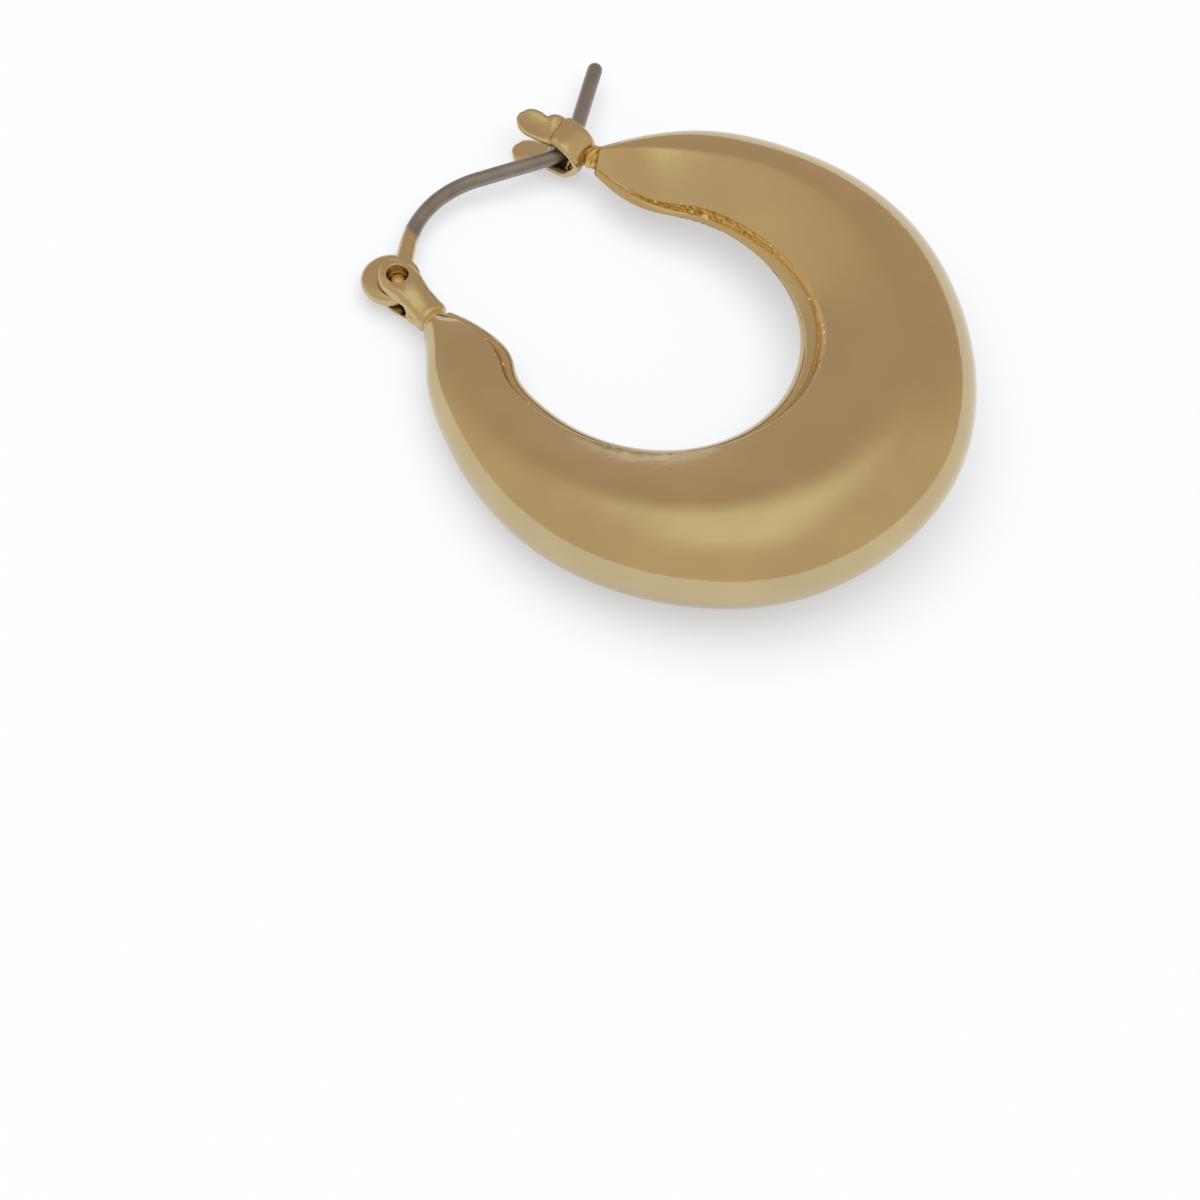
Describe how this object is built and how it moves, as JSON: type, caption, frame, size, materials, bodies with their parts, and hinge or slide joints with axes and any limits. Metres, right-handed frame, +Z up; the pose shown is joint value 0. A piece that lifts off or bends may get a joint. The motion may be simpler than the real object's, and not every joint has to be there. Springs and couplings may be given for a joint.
{
  "type": "creole hoop earring",
  "caption": "Hollow puffed crescent hoop earring with a hinged ear wire that closes across the gap into a folded catch.",
  "frame": {"origin": "bottom centre of the bounding box, on the surface that the closed earring lies on", "axes": "+Z up from that surface; +Y from the belly of the crescent towards the gap that the ear wire closes; +X from the hinge towards the catch"},
  "size_m": [0.0312, 0.036, 0.0083],
  "materials": {
    "gold_plate": "polished gold plating",
    "steel_wire": "polished, gold plated near the hinge"
  },
  "bodies": {
    "hoop": {"hoop_body": "gold_plate", "hinge_pin": "gold_plate"},
    "wire": {"ear_wire": "steel_wire"}
  },
  "joints": [
    {"name": "wire_swing", "type": "hinge", "parent": "hoop", "child": "wire", "pos_m": [-0.0075, 0.01498, 0.00139], "axis": [-0.033, 0.1036, 0.9941], "range_deg": [0, 95]}
  ]
}
